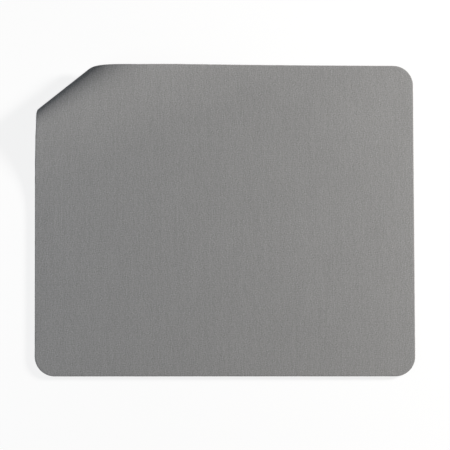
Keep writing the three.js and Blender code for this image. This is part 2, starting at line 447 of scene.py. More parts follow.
def rounded_outline(inset):
    """The outline drawn in by some width, anticlockwise, with a point at least every EDGE_STEP."""
    half = Vector((PAD_WIDTH / 2 - CORNER_RADIUS, PAD_DEPTH / 2 - CORNER_RADIUS))
    radius = CORNER_RADIUS - inset
    arc_steps = math.ceil(radius * math.pi / 2 / EDGE_STEP)
    points = []
    for quarter, (sx, sy) in enumerate([(1, 1), (-1, 1), (-1, -1), (1, -1)]):
        for step in range(arc_steps + 1):
            angle = (quarter + step / arc_steps) * math.pi / 2
            arm = Vector((math.cos(angle), math.sin(angle))) * radius
            points.append(Vector((sx * half.x, sy * half.y)) + arm)
        straight = 2 * (half.x if quarter % 2 == 0 else half.y)
        steps = math.ceil(straight / EDGE_STEP)
        turned = (quarter + 1) * math.pi / 2
        run = Vector((math.cos(turned + math.pi / 2), math.sin(turned + math.pi / 2))) * straight
        last = points[-1]
        points.extend(last + run * (step / steps) for step in range(1, steps))
    return points


print("the cut has", len(rounded_outline(0)), "points")

# %% [markdown]
# Now the flat pad. Its inner part, up to a narrow rim, is one polygon that is cut along two sets of
# lines. One set runs with the creases, close together where the pad bends and wide apart where it
# is flat, and the other crosses it at even gaps. A plain grid would be quicker, but its quads would
# lie askew to the creases, and light that grazes them would show a zigzag.
#
# A side of a face that no other face shares, the other way round, is on the rim, so following such
# sides from point to point gives the rim in order.

# %% The flat net of the pad
RIM_WIDTH = 1.2 * MM
FLAT_LINE_GAP = 6 * MM
LIFT_LINE_GAP = 1.6 * MM
ALONG_LINE_GAP = 4 * MM
CREASE_LINE_GAP = 1.2 * MM
LINE_TURN = math.radians(3)
SNAP_DISTANCE = 0.0001 * MM


def crease_cuts():
    """The lines that cut the net, as (direction square to the line, a point on it)."""
    nearest = (Vector((PAD_WIDTH / 2, -PAD_DEPTH / 2, 0)) - flat_apex).dot(ACROSS)
    places = list(np.arange(-LIFT_LENGTH, nearest, -FLAT_LINE_GAP))
    places += list(np.arange(-LIFT_LENGTH, 0, LIFT_LINE_GAP))
    cuts = [(ACROSS, flat_apex + ACROSS * place) for place in places]
    last_station, last_slope = -CREASE_LINE_GAP, LIFT_ANGLE
    for index, (_, slope) in enumerate(roll_rows):
        station = index * MARCH_STEP
        if last_slope - slope >= LINE_TURN or station - last_station >= CREASE_LINE_GAP:
            turned = Quaternion((0, 0, 1), station / APEX_DISTANCE)
            cuts.append((turned @ ACROSS, flat_apex))
            last_station, last_slope = station, slope
    return cuts


def cut_net():
    """The inner part of the flat pad as (points, faces), and its rim's point numbers in order."""
    net = bmesh.new()
    net.faces.new([net.verts.new((*point, 0)) for point in rounded_outline(RIM_WIDTH)])
    reach = (Vector((PAD_WIDTH / 2, PAD_DEPTH / 2, 0)) - flat_apex).length
    rows = [(ALONG, flat_apex + ALONG * place) for place in np.arange(0, reach, ALONG_LINE_GAP)]
    for direction, place in crease_cuts() + rows:
        everything = net.verts[:] + net.edges[:] + net.faces[:]
        cut = {"plane_co": place, "plane_no": direction, "dist": SNAP_DISTANCE}
        bmesh.ops.bisect_plane(net, geom=everything, **cut)
    net.verts.index_update()
    points = np.array([vert.co[:] for vert in net.verts])
    faces = [[vert.index for vert in face.verts] for face in net.faces]
    sides = {pair for face in faces for pair in zip(face, face[1:] + face[:1])}
    after = {start: end for start, end in sides if (end, start) not in sides}
    rim = [min(after)]
    while after[rim[-1]] != rim[0]:
        rim.append(after[rim[-1]])
    net.free()
    return points, faces, rim


net_points, net_faces, net_rim = cut_net()
print("flat net of", len(net_faces), "faces, with", len(net_rim), "points round its rim")

# %% [markdown]
# Every layer is made from that net. Its upper and lower faces are copies of the net, and between
# them run rings that step out to the cut edge: each ring has an inset from the outline and a depth
# below the cloth's face. Solidify and Bevel would be quicker, but where a layer is drawn by a list
# of such steps, its edge can be rounded, pinched or hollowed, as a blade leaves it. A little
# smoothed noise moves each ring in and out.

# %% A layer from the net
HUMP_POINTS, HUMP_REACH, HUMP_HEIGHT = 9, 2, 0.5


def outward(points):
    """The direction square to the rounded outline, for points near it."""
    core = np.array([PAD_WIDTH / 2 - CORNER_RADIUS, PAD_DEPTH / 2 - CORNER_RADIUS])
    away = points[:, :2] - np.clip(points[:, :2], -core, core)
    return away / np.linalg.norm(away, axis=1)[:, None]


def ragged_rows(rows, around, seed):
    """Random rows that close on themselves, smoothed by a low hump, for the faults of a cut."""
    noise = np.random.default_rng(seed).normal(size=(rows, around))
    hump = HUMP_HEIGHT * np.exp(-(np.linspace(-HUMP_REACH, HUMP_REACH, HUMP_POINTS) ** 2))
    smoothed = [np.convolve(np.tile(row, 3), hump, "same") for row in noise]
    return [row[around : 2 * around] for row in smoothed]


def layer_points(edge_steps, wobble, seed):
    """The layer's points: the net twice, on the first and last depth, and then one ring a step."""
    rim = net_points[net_rim]
    away = outward(rim)
    upper, lower = net_points.copy(), net_points.copy()
    upper[:, 2], lower[:, 2] = -edge_steps[0][1], -edge_steps[-1][1]
    rings = []
    faults = ragged_rows(len(edge_steps) - 2, len(rim), seed)
    for (inset, depth), fault in zip(edge_steps[1:-1], faults):
        shift = RIM_WIDTH - inset + wobble * fault
        plan = rim[:, :2] + away * shift[:, None]
        rings.append(np.column_stack([plan, np.full(len(rim), -depth)]))
    return np.concatenate([upper, lower, *rings])


def steep_levels(edge_steps):
    """The first and the last of the steps that belong to the cut, not to a face."""
    pairs = enumerate(zip(edge_steps, edge_steps[1:]))
    steep = [level for level, (a, b) in pairs if abs(a[0] - b[0]) < abs(a[1] - b[1])]
    return steep[0], steep[-1]


# %% [markdown]
# The layer also gets a UV map for baking. The face that is seen fills most of the square. Below it
# lie the cut edge, in four long strips, and the hidden face, squeezed flat. The seen face is mapped
# so that each yarn of the cloth takes exactly two pixels. With any other scale, yarns and pixels
# beat against each other, and the baked cloth shows stripes that the real one doesn't have.

# %% The map for baking
YARN_PITCH = 0.5 * MM
PIXELS_PER_YARN = 2
MAP_PIXELS = 1024
map_width = MAP_PIXELS * YARN_PITCH / PIXELS_PER_YARN
SEEN_MIDDLE = 600 / MAP_PIXELS
HIDDEN_MIDDLE, HIDDEN_HEIGHT = 0.055, 0.09
MAP_MARGIN = 0.01
FIRST_STRIP, STRIP_PITCH, STRIP_HEIGHT = 0.115, 0.014, 0.01


def face_map(point, is_seen):
    """The place of a flat point on the map: to scale on the seen face, squeezed on the hidden one."""
    across = 0.5 + point[0] / map_width
    if is_seen:
        return across, SEEN_MIDDLE + point[1] / map_width
    return across, HIDDEN_MIDDLE + HIDDEN_HEIGHT * point[1] / PAD_DEPTH


def strip_map(quarter, travelled, level_share):
    """The place on the map of a point on the cut edge, in one of four strips."""
    across = MAP_MARGIN + (1 - 2 * MAP_MARGIN) * (4 * travelled - quarter)
    return across, FIRST_STRIP + STRIP_PITCH * quarter + STRIP_HEIGHT * level_share


print("the baked map shows", round(map_width / MAP_PIXELS / MM, 3), "mm of cloth in a pixel")

# %% [markdown]
# A layer is closed: copies of the net above and below, and a belt of quads between each ring and
# the next. Each belt knows whether it belongs to the cut or to a face, and that settles which
# material and which part of the map its quads get.

# %% The belts between the rings
def layer_rings(steps):
    """The point numbers of each ring, from the rim of the upper face to that of the lower one."""
    count, around = len(net_points), len(net_rim)
    between = [2 * count + k * around + np.arange(around) for k in range(steps - 2)]
    return [np.array(net_rim), *between, count + np.array(net_rim)]


def belt_quads(above, below):
    """The quads between two rings, each as four point numbers."""
    corners = np.stack([above, below, np.roll(below, -1), np.roll(above, -1)], axis=1)
    return corners.tolist()


def belt_map(top, bottom):
    """The places on the map of a belt of the cut, between two shares of the way down it."""
    rim = net_points[net_rim]
    gaps = np.linalg.norm(np.roll(rim, -1, axis=0) - rim, axis=1)
    travelled = np.concatenate([[0], np.cumsum(gaps)]) / gaps.sum()
    maps = []
    for start, end in zip(travelled, travelled[1:]):
        spots = ((start, top), (start, bottom), (end, bottom), (end, top))
        maps.append([strip_map(int(4 * start), *spot) for spot in spots])
    return maps


# %% A closed layer
def layer_mesh(name, edge_steps, seen_side, wobble, seed):
    """A closed flat layer from its (inset, depth) steps, the first on its upper face and the last
    on its lower one. The faces of the cut carry the mark on_cut."""
    points = layer_points(edge_steps, wobble, seed)

    def map_faces(faces, side):
        """The places on the map of the corners of some faces."""
        return [[face_map(points[i], side == seen_side) for i in face] for face in faces]

    lower_face = [[len(net_points) + index for index in reversed(face)] for face in net_faces]
    corners = net_faces + lower_face
    maps = map_faces(net_faces, "upper") + map_faces(lower_face, "lower")
    on_cut = [False] * len(corners)
    first, last = steep_levels(edge_steps)
    rings = layer_rings(len(edge_steps))
    for level, (above, below) in enumerate(zip(rings, rings[1:])):
        quads = belt_quads(above, below)
        is_cut = first <= level <= last
        if is_cut:
            shares = [(level + k - first) / (last - first + 1) for k in (0, 1)]
            maps += belt_map(*shares)
        else:
            maps += map_faces(quads, "upper" if level < first else "lower")
        corners += quads
        on_cut += [is_cut] * len(quads)

    mesh = bpy.data.meshes.new(name)
    mesh.from_pydata(points.tolist(), [], corners)
    mesh.attributes.new("on_cut", "BOOLEAN", "FACE").data.foreach_set("value", on_cut)
    layer = mesh.uv_layers.new(name="OFBake")
    layer.uv.foreach_set("vector", [value for face in maps for spot in face for value in spot])
    mesh.update()
    return mesh


# %% [markdown]
# The bent layer then becomes a piece. It is shaded smooth, so that the roll shows no facets, and
# edges that turn by more than an angle are marked sharp, so that the corners of the cut stay crisp.

# %% From a flat layer to a bent sheet
SHARP_ANGLE = math.radians(35)


def describe(piece):
    """Prints how many faces a piece has, and how high above the desk it reaches."""
    heights = [vertex.co.z / MM for vertex in piece.data.vertices]
    reach = f"from {min(heights):.3f} to {max(heights):.3f} mm above the desk"
    print(piece.name, "of", len(piece.data.polygons), "faces,", reach)


def bent_sheet(flat_mesh, face_material, cut_material):
    """The flat mesh bent over the roll, as an object in the scene with its hard edges marked."""
    piece = add_object(flat_mesh.name, flat_mesh)
    values = {"Face": face_material, "Cut Edge": cut_material, **guides}
    mesh = run_tree(piece, sheet_tree, **values)
    mesh.shade_smooth()
    mesh.set_sharp_from_angle(angle=SHARP_ANGLE)
    describe(piece)
    return piece


# %% [markdown]
# Now the finishes. Several of them share an effect, and each such effect is a node group that is
# built once. All of them read flat_place, the attribute that the bend left on every point, so a
# pattern lies on the material as it lay before the corner rolled over.
#
# The cloth is a plain weave of spun polyester yarn. As threads it would have some 160,000
# crossings, so the weave is worked out in the shader, as a height and a tone. The product of two
# sines changes its sign from cell to cell like a chessboard, which tells where the warp lies on top
# and where the weft does. Spun yarn is never even, so each yarn also gets its own tone, in short
# lengths called slubs. They start at a different place on each yarn.

# %% The uneven tone of yarns
BESIDE_SHARE = 0.6
DRIFT_SHARE = 0.3
LONG_SLUBS = 15
SLUB_STAGGER = 0.37


def slub_value(tree, yarn, along, slub_cells):
    """A random value for each slub of each yarn, from 0 to 1."""
    slub = calc(tree, "MULTIPLY_ADD", yarn, SLUB_STAGGER, calc(tree, "DIVIDE", along, slub_cells))
    inputs = {"Vector": combine(tree, yarn, calc(tree, "FLOOR", slub), 0.0)}
    return add_node(tree, "ShaderNodeTexWhiteNoise", inputs, noise_dimensions="2D").outputs[0]


def yarn_tone(tree, own, along, slub_cells, spread):
    """The tone of one set of yarns, round 1. A thick slub darkens the yarn beside it with painted
    shade, and a long slow drift runs along each yarn."""
    yarn = calc(tree, "FLOOR", own)
    slub = slub_value(tree, yarn, along, slub_cells)
    beside = slub_value(tree, calc(tree, "SUBTRACT", yarn, 1.0), along, slub_cells)
    drift = slub_value(tree, yarn, along, calc(tree, "MULTIPLY", slub_cells, LONG_SLUBS))
    # Painted shade: a thick slub on the yarn beside darkens this yarn.
    contrast = calc(tree, "MULTIPLY_ADD", beside, -BESIDE_SHARE, slub)
    contrast = calc(tree, "MULTIPLY_ADD", drift, DRIFT_SHARE, contrast)
    centred = calc(tree, "SUBTRACT", contrast, (1 - BESIDE_SHARE + DRIFT_SHARE) / 2)
    return calc(tree, "MULTIPLY_ADD", centred, spread, 1.0)


# %% Shared group: plain weave
SHADER = "ShaderNodeTree"
GAP_STARTS, GAP_IS_OPEN = 0.55, 0.2


def choose(tree, picks_second, first, second):
    """The first value or the second, by a switch that is 0 or 1."""
    return add_node(tree, "ShaderNodeMix", {0: picks_second, 2: first, 3: second}).outputs[0]


def weave_group():
    """A plain weave on the X and Y of a place: its height, its tone and the gaps in it."""
    sockets = [
        ("Place", VECTOR, None),
        ("Yarn Pitch", FLOAT, YARN_PITCH),
        ("Slub Length", FLOAT, 1.2 * MM),
        ("Warp Spread", FLOAT, 0.41),
        ("Weft Spread", FLOAT, 0.12),
    ]
    results = [("Height", FLOAT), ("Tone", FLOAT), ("Gap", FLOAT)]
    tree, given, result = new_group("Plain weave", SHADER, sockets, results)
    yarns_per_metre = calc(tree, "DIVIDE", 1.0, given["Yarn Pitch"])
    scaled = split(tree, vector_calc(tree, "SCALE", given["Place"], scale=yarns_per_metre))
    across, along = scaled["X"], scaled["Y"]
    slub_cells = calc(tree, "DIVIDE", given["Slub Length"], given["Yarn Pitch"])
    wave_x = calc(tree, "SINE", calc(tree, "MULTIPLY", across, math.pi))
    wave_y = calc(tree, "SINE", calc(tree, "MULTIPLY", along, math.pi))
    warp_on_top = calc(tree, "GREATER_THAN", calc(tree, "MULTIPLY", wave_x, wave_y), 0.0)
    round_x, round_y = calc(tree, "ABSOLUTE", wave_x), calc(tree, "ABSOLUTE", wave_y)
    warp_height = calc(tree, "MULTIPLY", round_x, calc(tree, "SQRT", round_y))
    weft_height = calc(tree, "MULTIPLY", round_y, calc(tree, "SQRT", round_x))
    height = choose(tree, warp_on_top, weft_height, warp_height)
    warp_tone = yarn_tone(tree, across, along, slub_cells, given["Warp Spread"])
    weft_tone = yarn_tone(tree, along, across, slub_cells, given["Weft Spread"])
    nearest = calc(tree, "MAXIMUM", round_x, round_y)
    inputs = {"Value": nearest, "From Min": GAP_STARTS, "From Max": GAP_IS_OPEN}
    gap = add_node(tree, "ShaderNodeMapRange", inputs, interpolation_type="SMOOTHSTEP")
    tree.links.new(height, result.inputs["Height"])
    tree.links.new(choose(tree, warp_on_top, weft_tone, warp_tone), result.inputs["Tone"])
    tree.links.new(gap.outputs[0], result.inputs["Gap"])
    return tree


weave = weave_group()
print("weave group of", len(weave.nodes), "nodes")

# %% [markdown]
# Two more effects are shared by nearly every surface. Cloudy tone is the slow drift in shade that
# dye, handling and ageing leave. Fine grain is the roughness of a matt surface.

# %% Shared groups: cloudy tone and fine grain
CLOUD_CONTRAST = 4.0


def noise(tree, place, size, detail=2.0):
    """Noise between 0 and 1 whose blobs are about as big as size."""
    per_metre = calc(tree, "DIVIDE", 1.0, size)
    inputs = {"Vector": place, "Scale": per_metre, "Detail": detail}
    return add_node(tree, "ShaderNodeTexNoise", inputs).outputs[0]


def cloudy_group():
    """A tone round 1 that drifts from patch to patch."""
    sockets = [("Place", VECTOR, None), ("Patch Size", FLOAT, 40 * MM), ("Spread", FLOAT, 0.05)]
    tree, given, result = new_group("Cloudy tone", SHADER, sockets, [("Tone", FLOAT)])
    drift = calc(tree, "SUBTRACT", noise(tree, given["Place"], given["Patch Size"]), 0.5)
    drift = calc(tree, "MULTIPLY", drift, CLOUD_CONTRAST)
    tone = calc(tree, "MULTIPLY_ADD", drift, given["Spread"], 1.0)
    tree.links.new(tone, result.inputs["Tone"])
    return tree


def grain_group():
    """A fine rough height."""
    sockets = [("Place", VECTOR, None), ("Grain Size", FLOAT, 0.1 * MM)]
    tree, given, result = new_group("Fine grain", SHADER, sockets, [("Height", FLOAT)])
    grain = noise(tree, given["Place"], given["Grain Size"], detail=3.0)
    tree.links.new(grain, result.inputs["Height"])
    return tree


cloudy, grain = cloudy_group(), grain_group()
print("tone and grain groups of", len(cloudy.nodes), "and", len(grain.nodes), "nodes")

# %% [markdown]
# Lint is the sparse fluff that cloth and rubber pick up. A Voronoi pattern gives every cell a place
# and a random colour. Here each cell holds one short thin line. The colour sets its direction and
# its length, and a little noise in the place bends it into a curl.

# %% Shared group: lint
CURLS_PER_METRE = 420.0
CURL_STRENGTH = 2.4 * MM
LONGEST_HALF_FIBRE = 1.6 * MM


def lint_group():
    """A mask of short curled fibres, one to a cell."""
    sockets = [("Place", VECTOR, None), ("Spacing", FLOAT, 9 * MM), ("Width", FLOAT, 0.04 * MM)]
    tree, given, result = new_group("Lint", SHADER, sockets, [("Mask", FLOAT)])
    inputs = {"Vector": given["Place"], "Scale": CURLS_PER_METRE}
    bend = add_node(tree, "ShaderNodeTexNoise", inputs).outputs["Color"]
    bend = vector_calc(tree, "SUBTRACT", bend, (0.5, 0.5, 0.5))
    bend = vector_calc(tree, "SCALE", bend, scale=CURL_STRENGTH)
    curled = vector_calc(tree, "ADD", given["Place"], bend)
    per_metre = calc(tree, "DIVIDE", 1.0, given["Spacing"])
    inputs = {"Vector": curled, "Scale": per_metre, "Randomness": 1.0}
    cell = add_node(tree, "ShaderNodeTexVoronoi", inputs, feature="F1", voronoi_dimensions="2D")
    random = split(tree, cell.outputs["Color"])
    turn = calc(tree, "MULTIPLY", random[0], math.pi)
    half_fibre = calc(tree, "MULTIPLY", random[1], LONGEST_HALF_FIBRE)
    inputs = {
        "Vector": vector_calc(tree, "SUBTRACT", curled, cell.outputs["Position"]),
        "Angle": turn,
    }
    turned = add_node(tree, "ShaderNodeVectorRotate", inputs, rotation_type="Z_AXIS").outputs[0]
    arm = split(tree, turned)
    is_near = calc(tree, "LESS_THAN", calc(tree, "ABSOLUTE", arm["X"]), half_fibre)
    is_thin = calc(tree, "LESS_THAN", calc(tree, "ABSOLUTE", arm["Y"]), given["Width"])
    tree.links.new(calc(tree, "MULTIPLY", is_near, is_thin), result.inputs["Mask"])
    return tree


lint = lint_group()
print("lint group of", len(lint.nodes), "nodes")

# %% [markdown]
# The last shared effect is the foam's structure. Where the blade cuts closed-cell foam it opens the
# cells, and each leaves a tiny pit with a thin wall round it. The moulded skin shows the same cells
# only faintly, as dimples. A Voronoi pattern in three dimensions gives both. Each cell's random
# colour makes its pit wider or narrower.

# %% Shared group: foam cells
NARROWEST_PIT, PIT_SPREAD = 0.35, 0.5


def cells_group():
    """Round pits, one to a cell, as a height and as a mask."""
    sockets = [("Place", VECTOR, None), ("Cell Size", FLOAT, 0.16 * MM)]
    results = [("Height", FLOAT), ("Pit", FLOAT)]
    tree, given, result = new_group("Foam cells", SHADER, sockets, results)
    inputs = {"Vector": given["Place"], "Scale": calc(tree, "DIVIDE", 1.0, given["Cell Size"])}
    cell = add_node(tree, "ShaderNodeTexVoronoi", inputs, feature="F1")
    random = split(tree, cell.outputs["Color"])[0]
    size = calc(tree, "MULTIPLY_ADD", random, PIT_SPREAD, NARROWEST_PIT)
    pit = calc(tree, "SUBTRACT", 1.0, calc(tree, "DIVIDE", cell.outputs["Distance"], size))
    pit = calc(tree, "MAXIMUM", pit, 0.0)
    tree.links.new(calc(tree, "SUBTRACT", 1.0, pit), result.inputs["Height"])
    tree.links.new(pit, result.inputs["Pit"])
    return tree


cells = cells_group()
print("foam cell group of", len(cells.nodes), "nodes")

# %% [markdown]
# Each material then puts its own values into those groups. Its shader stays in the material itself,
# and so does every value that is the same all over, such as roughness or sheen. Only what changes
# from place to place comes through nodes.

# %% Helpers for the materials
def by_socket(values):
    """The same values under their sockets' names, which have spaces where keywords can't."""
    return {word.replace("_", " "): value for word, value in values.items()}


def new_material(name, **constants):
    """A material with its Principled shader, whose plain values are set by socket name."""
    material = bpy.data.materials.new(name)
    material.use_nodes = True
    tree = material.node_tree
    shader = tree.nodes["Principled BSDF"]
    for socket, value in by_socket(constants).items():
        shader.inputs[socket].default_value = value
    place = add_node(tree, "ShaderNodeAttribute", attribute_name="flat_place").outputs["Vector"]
    return material, tree, shader, place


def use_group(tree, group, **values):
    """The outputs of a group node whose inputs are set by socket name."""
    return add_node(tree, "ShaderNodeGroup", by_socket(values), node_tree=group).outputs


def shade_by(tree, mask, change):
    """A tone that is 1 where the mask is 0, and 1 plus the change where the mask is 1."""
    return calc(tree, "MULTIPLY_ADD", mask, change, 1.0)


def tint(tree, shader, colour, *tones):
    """The base colour, as one colour times any number of grey tones."""
    tone = tones[0]
    for other in tones[1:]:
        tone = calc(tree, "MULTIPLY", tone, other)
    shaded = vector_calc(tree, "SCALE", colour, scale=tone)
    tree.links.new(shaded, shader.inputs["Base Color"])


def add_bump(tree, shader, *layers):
    """Bumps from (height, depth in metres) pairs, each laid over the ones before."""
    normal = None
    for height, depth in layers:
        inputs = {"Height": height, "Distance": depth, "Strength": 1.0}
        if normal is not None:
            inputs["Normal"] = normal
        normal = add_node(tree, "ShaderNodeBump", inputs).outputs[0]
    tree.links.new(normal, shader.inputs["Normal"])


def count_nodes(*materials):
    """Prints how many nodes each material has."""
    print({material.name: len(material.node_tree.nodes) for material in materials}, "nodes")


# %% [markdown]
# The working face: mid grey, matt, with a little sheen from the fibres that stand up out of the
# yarns. The holes between the yarns are darker, because the light doesn't reach into them.

# %% Cloth material
CLOTH_GREY = (0.262, 0.262, 0.262)
HOLE_SHADE, LINT_SHADE = -0.45, 0.35


def cloth_material():
    """The woven face: its yarns, a slow drift in shade and a few pale fibres of lint."""
    matt = {"Roughness": 0.92, "Specular_IOR_Level": 0.2}
    sheen = {"Sheen_Weight": 0.12, "Sheen_Roughness": 0.5}
    material, tree, shader, place = new_material("woven_polyester", **matt, **sheen)
    woven = use_group(tree, weave, Place=place)
    clouds = use_group(tree, cloudy, Place=place, Patch_Size=38 * MM, Spread=0.02)
    fluff = use_group(tree, lint, Place=place, Spacing=13 * MM)
    # Painted shade: the gaps between the yarns are darkened, because light doesn't reach into them.
    gap_shade = shade_by(tree, woven["Gap"], HOLE_SHADE)
    pale = shade_by(tree, fluff["Mask"], LINT_SHADE)
    tint(tree, shader, CLOTH_GREY, woven["Tone"], clouds["Tone"], gap_shade, pale)
    add_bump(tree, shader, (woven["Height"], 0.05 * MM))
    return material


woven_polyester = cloth_material()
count_nodes(woven_polyester)

# %% [markdown]
# The cut edge of the cloth shows its yarns end on. The weave group makes them too, if it is given
# the distance round the edge and the depth in place of the two flat directions. Round the corners
# the sum of x and y does well enough for that distance.

# %% Material for cut yarns
YARN_END_GREY = (0.3, 0.298, 0.292)
YARN_END_PITCH = CLOTH_THICKNESS / 2
YARN_END_HOLE_SHADE = -0.6


def cut_yarn_material():
    """The cloth's cut edge and its loose threads: yarn ends with painted shade in the gaps between
    them, and rough.
    """
    constants = {"Roughness": 0.95, "Specular_IOR_Level": 0.15, "Sheen_Weight": 0.2}
    material, tree, shader, place = new_material("cut_yarns", **constants)
    parts = split(tree, place)
    edge_place = combine(tree, calc(tree, "ADD", parts["X"], parts["Y"]), parts["Z"], 0.0)
    sizes = {"Yarn_Pitch": YARN_END_PITCH, "Slub_Length": YARN_END_PITCH}
    ends = use_group(tree, weave, Place=edge_place, **sizes)
    rough = use_group(tree, grain, Place=place, Grain_Size=0.03 * MM)
    # Painted shade: the gaps between the yarn ends are darkened, because light doesn't reach into
    # them.
    gap_shade = shade_by(tree, ends["Gap"], YARN_END_HOLE_SHADE)
    tint(tree, shader, YARN_END_GREY, ends["Tone"], gap_shade)
    add_bump(tree, shader, (ends["Height"], 0.03 * MM), (rough["Height"], 0.008 * MM))
    return material


cut_yarns = cut_yarn_material()
count_nodes(cut_yarns)

# %% [markdown]
# The film is a hot-melt glue web, pressed thin: milky, slightly yellow, a little glossy, and blotchy
# where more or less of it has soaked into the cloth.

# %% Film material
GLUE_CREAM = (0.42, 0.4, 0.355)


def film_material():
    """The glue film: pale and slightly glossy, with blotches."""
    constants = {"Roughness": 0.42, "Specular_IOR_Level": 0.45}
    material, tree, shader, place = new_material("hot_melt_glue", **constants)
    soaked = use_group(tree, cloudy, Place=place, Patch_Size=1.2 * MM, Spread=0.12)
    rough = use_group(tree, grain, Place=place, Grain_Size=0.06 * MM)
    tint(tree, shader, GLUE_CREAM, soaked["Tone"])
    add_bump(tree, shader, (rough["Height"], 0.01 * MM))
    return material


hot_melt_glue = film_material()
count_nodes(hot_melt_glue)

# %% [markdown]
# The foam is black all through. Its moulded skin is smooth enough to have a dull gloss, with faint
# dimples and a few pale fibres of lint. Its cut wall is open cells, so it is rougher and a touch
# greyer.

# %% Foam materials
SKIN_BLACK, CUT_BLACK = (0.014, 0.014, 0.015), (0.02, 0.02, 0.0205)
SKIN_ROUGHNESS = 0.62
SKIN_LINT_SHADE, PIT_SHADE = 5.0, -0.7


def foam_skin_material():
    """The moulded underside: dimples, fine grain, lint and an uneven dull gloss."""
    material, tree, shader, place = new_material("foam_skin", Specular_IOR_Level=0.4)
    inner = use_group(tree, cells, Place=place, Cell_Size=0.3 * MM)
    fine = use_group(tree, grain, Place=place, Grain_Size=0.08 * MM)
    drift = use_group(tree, cloudy, Place=place, Patch_Size=25 * MM, Spread=0.12)
    fluff = use_group(tree, lint, Place=place, Spacing=14 * MM, Width=0.035 * MM)
    pale = shade_by(tree, fluff["Mask"], SKIN_LINT_SHADE)
    tint(tree, shader, SKIN_BLACK, drift["Tone"], pale)
    roughness = calc(tree, "MULTIPLY", drift["Tone"], SKIN_ROUGHNESS)
    tree.links.new(roughness, shader.inputs["Roughness"])
    add_bump(tree, shader, (inner["Height"], 0.006 * MM), (fine["Height"], 0.006 * MM))
    return material


def foam_cut_material():
    """The cut wall: open cells, with painted shade in their pits."""
    constants = {"Roughness": 0.95, "Specular_IOR_Level": 0.25}
    material, tree, shader, place = new_material("cut_foam", **constants)
    open_cells = use_group(tree, cells, Place=place, Cell_Size=0.16 * MM)
    drift = use_group(tree, cloudy, Place=place, Patch_Size=5 * MM, Spread=0.1)
    # Painted shade: the pits of the open cells are darkened, because light doesn't reach into them.
    hollow = shade_by(tree, open_cells["Pit"], PIT_SHADE)
    tint(tree, shader, CUT_BLACK, drift["Tone"], hollow)
    add_bump(tree, shader, (open_cells["Height"], 0.05 * MM))
    return material


foam_skin, cut_foam = foam_skin_material(), foam_cut_material()
count_nodes(foam_skin, cut_foam)

# %% [markdown]
# The cloth is a third of a millimetre thick. The blade pinches it as it cuts, so its face dips over
# the last half millimetre and ends in a small round shoulder. The cut itself is slightly ragged.

# %% Cloth
CLOTH_EDGE = [
    (RIM_WIDTH, 0.0),
    (0.6 * MM, 0.004 * MM),
    (0.3 * MM, 0.018 * MM),
    (0.14 * MM, 0.045 * MM),
    (0.05 * MM, 0.09 * MM),
    (0.01 * MM, 0.16 * MM),
    (0.0, 0.34 * MM),
    (RIM_WIDTH, CLOTH_THICKNESS),
]
cloth_flat = layer_mesh("woven_cloth", CLOTH_EDGE, "upper", wobble=0.02 * MM, seed=3)
cloth = bent_sheet(cloth_flat, woven_polyester, cut_yarns)

# %% [markdown]
# The hot-melt film under it is set back a little from the cut, where the heat of pressing drew it
# in. From the side it is the pale hairline between the cloth and the foam.

# %% Film
FILM_TOP = CLOTH_THICKNESS
FILM_BOTTOM = CLOTH_THICKNESS + FILM_THICKNESS
FILM_EDGE = [
    (RIM_WIDTH, FILM_TOP),
    (0.05 * MM, FILM_TOP + 0.005 * MM),
    (0.03 * MM, FILM_TOP + FILM_THICKNESS / 2),
    (0.05 * MM, FILM_BOTTOM - 0.005 * MM),
    (RIM_WIDTH, FILM_BOTTOM),
]
film_flat = layer_mesh("hot_melt_film", FILM_EDGE, "upper", wobble=0.03 * MM, seed=5)
film = bent_sheet(film_flat, hot_melt_glue, hot_melt_glue)

# %% [markdown]
# The foam is the pad's body. The blade squeezes it before it cuts, so the wall springs back
# slightly hollow. Its underside is a moulded skin, which lies a little higher than the ribs that
# stand on it, because the ribs are what touches the desk.

# %% Foam
RIB_HEIGHT = 0.22 * MM
SKIN_DEPTH = PAD_THICKNESS - RIB_HEIGHT
FOAM_EDGE = [
    (RIM_WIDTH, FILM_BOTTOM),
    (0.02 * MM, FILM_BOTTOM + 0.02 * MM),
    (0.03 * MM, FILM_BOTTOM + 0.25 * MM),
    (0.09 * MM, FILM_BOTTOM + 0.55 * MM),
    (0.1 * MM, FILM_BOTTOM + 0.85 * MM),
    (0.06 * MM, SKIN_DEPTH - 0.2 * MM),
    (0.1 * MM, SKIN_DEPTH - 0.06 * MM),
    (0.3 * MM, SKIN_DEPTH),
    (RIM_WIDTH, SKIN_DEPTH),
]
foam_flat = layer_mesh("foam_rubber", FOAM_EDGE, "lower", wobble=0.03 * MM, seed=7)
foam = bent_sheet(foam_flat, foam_skin, cut_foam)

# %% [markdown]
# A blade doesn't leave woven cloth clean. Every yarn that it cuts ends in a short stub, and here and
# there a single fibre springs out. Both repeat along the outline, so a geometry tree makes them: it
# turns the outline into a curve, spreads points along it, and puts a small shape on each, turned
# outwards with a little chance in its direction and length. The points of the outline carry that
# outward direction as an attribute, which the curve and its points inherit. Hair curves could do
# it too, but a tree gives plain meshes and can end in the shared bend.

# %% The outline for the thread ends
def outline_ring(name):
    """The flat outline as a closed ring of edges, each point with its outward direction."""
    points = np.array([(*point, 0.0) for point in rounded_outline(0)])
    edges = [(k, (k + 1) % len(points)) for k in range(len(points))]
    mesh = bpy.data.meshes.new(name)
    mesh.from_pydata(points.tolist(), edges, [])
    away = np.column_stack([outward(points), np.zeros(len(points))])
    mesh.attributes.new("outward", "FLOAT_VECTOR", "POINT").data.foreach_set("vector", away.ravel())
    return add_object(name, mesh)


# %% Copies along the outline
INTEGER = "NodeSocketInt"


def random_between(tree, low, high, seed):
    """A random number for each point. The node has Min and Max twice, so they go by number."""
    inputs = {2: low, 3: high, "Seed": seed}
    return add_node(tree, "FunctionNodeRandomValue", inputs, data_type="FLOAT").outputs[1]


def random_lean(tree, low, high, seed):
    """A random vector for each point, which is added to a direction."""
    inputs = {0: low, 1: high, "Seed": seed}
    return add_node(tree, "FunctionNodeRandomValue", inputs, data_type="FLOAT_VECTOR").outputs[0]


